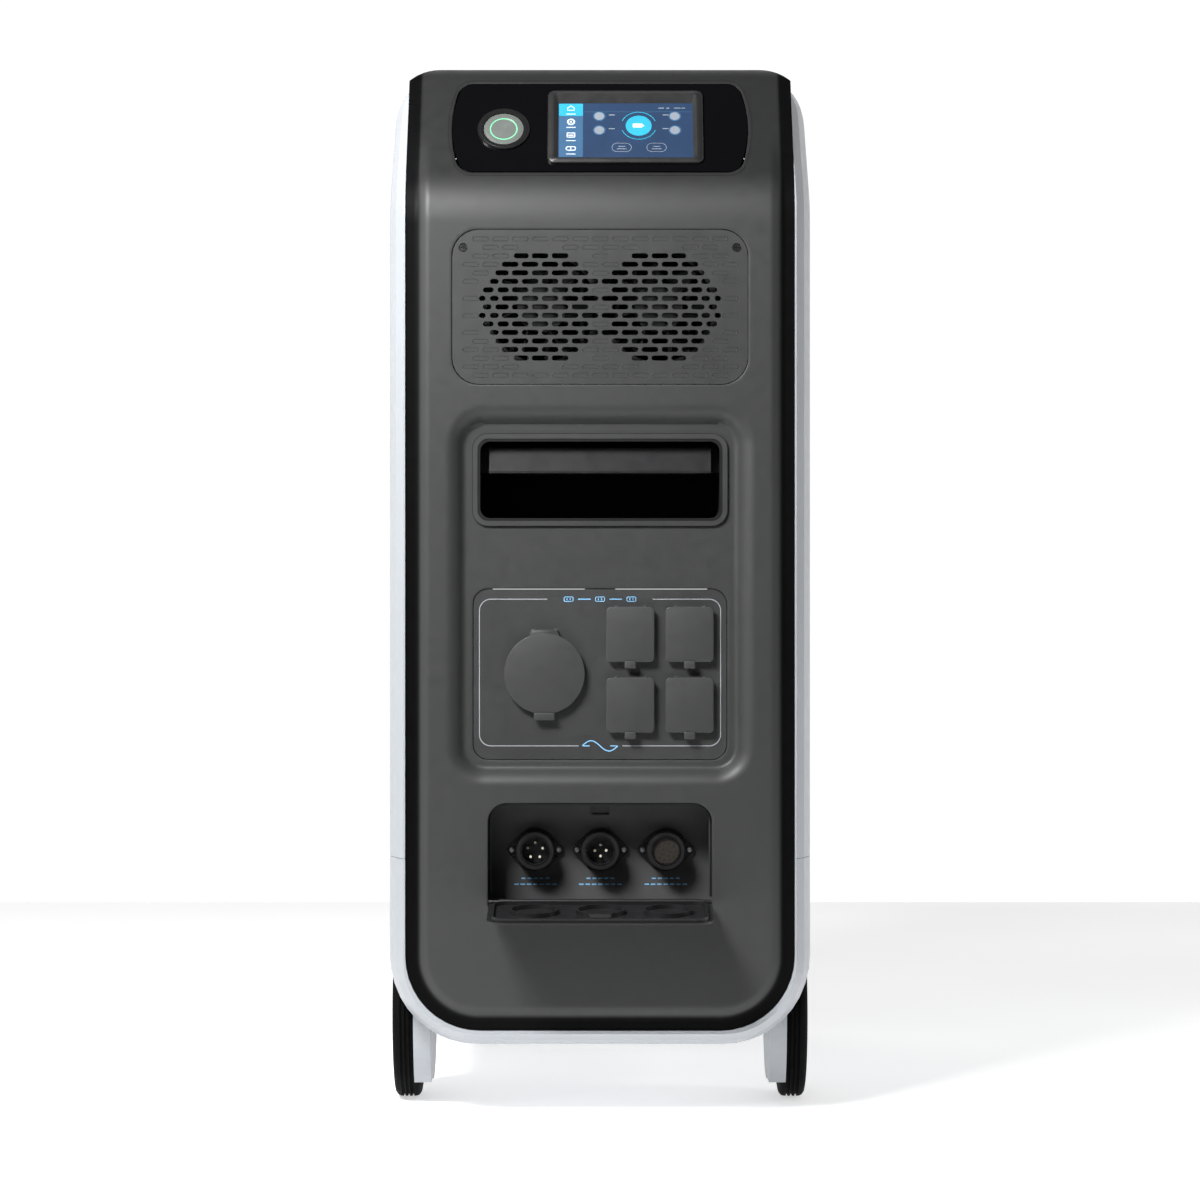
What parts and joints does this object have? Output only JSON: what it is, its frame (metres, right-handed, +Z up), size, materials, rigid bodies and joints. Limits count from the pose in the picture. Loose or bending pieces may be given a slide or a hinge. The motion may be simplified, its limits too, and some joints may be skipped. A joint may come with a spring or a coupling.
{
  "type": "home power station",
  "caption": "Tall wheeled battery and inverter tower with a touch display, fans, carry handle, covered outlets and a flap over its input connectors.",
  "frame": {"origin": "on the floor under the middle of the whole object, with the input flap open", "axes": "+Z up, +X to the right seen from the front, front towards -Y"},
  "size_m": [0.3, 0.6304, 0.742],
  "materials": {
    "charcoal_plastic": "fine matt texture",
    "gloss_black": "polished",
    "black_plastic": "satin",
    "grip_plastic": "satin",
    "cover_rubber": "soft matt",
    "light_grey": "satin",
    "dark_metal": "blackened",
    "button_metal": "turned",
    "bright_steel": "zinc plated",
    "frame_steel": "powder coated",
    "plain_aluminium": "as extruded",
    "connector_shell": "black anodised",
    "contact_gold": "plated",
    "copper": "bare",
    "circuit_board": "solder mask",
    "cell_can": "blue film",
    "tyre_black": "moulded",
    "pedal_red": "moulded",
    "screen": "lit display",
    "light_ring": "lit diffuser"
  },
  "bodies": {
    "casing": {"front_cover": "charcoal_plastic", "control_panel": "gloss_black", "display_bezel": "gloss_black", "display_screen": "screen", "button_bezel": "dark_metal", "fan_grille": "charcoal_plastic", "front_screws": "dark_metal", "fan_frames": "black_plastic", "handle_liner": "black_plastic", "handle_grip": "grip_plastic", "outlet_panel": "charcoal_plastic", "round_socket": "black_plastic", "square_sockets": "black_plastic", "cover_hinge_pins": "bright_steel", "input_tray": "black_plastic", "ac_input_connector": "connector_shell", "dc_input_connector": "connector_shell", "data_connector": "connector_shell", "connector_contacts": "contact_gold", "flap_hinge_pins": "bright_steel", "side_panel_left": "light_grey", "side_panel_right": "light_grey", "base_shell": "light_grey", "top_cover": "charcoal_plastic", "rear_cover": "charcoal_plastic", "rear_screws": "dark_metal", "chassis_frame": "frame_steel", "battery_cells": "cell_can", "cell_end_plates": "plain_aluminium", "cell_busbars": "copper", "battery_board": "circuit_board", "inverter_board": "circuit_board", "heatsink": "plain_aluminium", "inverter_coils": "copper", "capacitors": "cell_can", "solar_charger_board": "circuit_board", "wheel_carrier_left": "light_grey", "wheel_carrier_right": "light_grey", "front_axle": "bright_steel", "caster_plates": "bright_steel"},
    "power_button": {"power_button": "button_metal", "button_light_ring": "light_ring"},
    "fan_left": {"fan_rotor_left": "black_plastic"},
    "fan_right": {"fan_rotor_right": "black_plastic"},
    "round_cover": {"round_cover": "cover_rubber"},
    "square_cover_1": {"square_cover_1": "cover_rubber"},
    "square_cover_2": {"square_cover_2": "cover_rubber"},
    "square_cover_3": {"square_cover_3": "cover_rubber"},
    "square_cover_4": {"square_cover_4": "cover_rubber"},
    "input_flap": {"input_flap": "black_plastic"},
    "wheel_left": {"front_tyre_left": "tyre_black", "front_hub_left": "light_grey"},
    "wheel_right": {"front_tyre_right": "tyre_black", "front_hub_right": "light_grey"},
    "caster_left": {"caster_fork_left": "bright_steel"},
    "caster_right": {"caster_fork_right": "bright_steel"},
    "caster_wheel_left": {"caster_wheel_left": "tyre_black"},
    "caster_wheel_right": {"caster_wheel_right": "tyre_black"},
    "brake_left": {"brake_pedal_left": "pedal_red"},
    "brake_right": {"brake_pedal_right": "pedal_red"}
  },
  "joints": [
    {"name": "power_button_press", "type": "slide", "parent": "casing", "child": "power_button", "axis": [0, 0.8387, -0.5446], "range_m": [0, 0.0015], "stiffness_N_per_m": 400, "springref_m": -0.002},
    {"name": "fan_left_spin", "type": "hinge", "parent": "casing", "child": "fan_left", "pos_m": [-0.041, -0.23, 0.5657], "axis": [0, 1, 0], "continuous": true},
    {"name": "fan_right_spin", "type": "hinge", "parent": "casing", "child": "fan_right", "pos_m": [0.041, -0.23, 0.5657], "axis": [0, 1, 0], "continuous": true},
    {"name": "round_cover_hinge", "type": "hinge", "parent": "casing", "child": "round_cover", "pos_m": [-0.0389, -0.24215, 0.3389], "axis": [-1, 0, 0], "range_deg": [0, 100]},
    {"name": "square_cover_1_hinge", "type": "hinge", "parent": "casing", "child": "square_cover_1", "pos_m": [0.0212, -0.24215, 0.3552], "axis": [-1, 0, 0], "range_deg": [0, 100]},
    {"name": "square_cover_2_hinge", "type": "hinge", "parent": "casing", "child": "square_cover_2", "pos_m": [0.0627, -0.24215, 0.3552], "axis": [-1, 0, 0], "range_deg": [0, 100]},
    {"name": "square_cover_3_hinge", "type": "hinge", "parent": "casing", "child": "square_cover_3", "pos_m": [0.0212, -0.24215, 0.3057], "axis": [-1, 0, 0], "range_deg": [0, 100]},
    {"name": "square_cover_4_hinge", "type": "hinge", "parent": "casing", "child": "square_cover_4", "pos_m": [0.0627, -0.24215, 0.3057], "axis": [-1, 0, 0], "range_deg": [0, 100]},
    {"name": "input_flap_hinge", "type": "hinge", "parent": "casing", "child": "input_flap", "pos_m": [0, -0.2464, 0.15], "axis": [-1, 0, 0], "range_deg": [0, 97]},
    {"name": "wheel_left_spin", "type": "hinge", "parent": "casing", "child": "wheel_left", "pos_m": [-0.1387, -0.134, 0.0635], "axis": [1, 0, 0], "continuous": true},
    {"name": "wheel_right_spin", "type": "hinge", "parent": "casing", "child": "wheel_right", "pos_m": [0.1387, -0.134, 0.0635], "axis": [1, 0, 0], "continuous": true},
    {"name": "caster_left_swivel", "type": "hinge", "parent": "casing", "child": "caster_left", "pos_m": [-0.095, 0.231, 0.085], "axis": [0, 0, 1], "continuous": true},
    {"name": "caster_wheel_left_spin", "type": "hinge", "parent": "caster_left", "child": "caster_wheel_left", "pos_m": [-0.095, 0.259, 0.0375], "axis": [1, 0, 0], "continuous": true},
    {"name": "brake_left_press", "type": "hinge", "parent": "caster_left", "child": "brake_left", "pos_m": [-0.095, 0.289, 0.072], "axis": [-1, 0, 0], "range_deg": [0, 15]},
    {"name": "caster_right_swivel", "type": "hinge", "parent": "casing", "child": "caster_right", "pos_m": [0.095, 0.231, 0.085], "axis": [0, 0, 1], "continuous": true},
    {"name": "caster_wheel_right_spin", "type": "hinge", "parent": "caster_right", "child": "caster_wheel_right", "pos_m": [0.095, 0.259, 0.0375], "axis": [1, 0, 0], "continuous": true},
    {"name": "brake_right_press", "type": "hinge", "parent": "caster_right", "child": "brake_right", "pos_m": [0.095, 0.289, 0.072], "axis": [-1, 0, 0], "range_deg": [0, 15]}
  ]
}
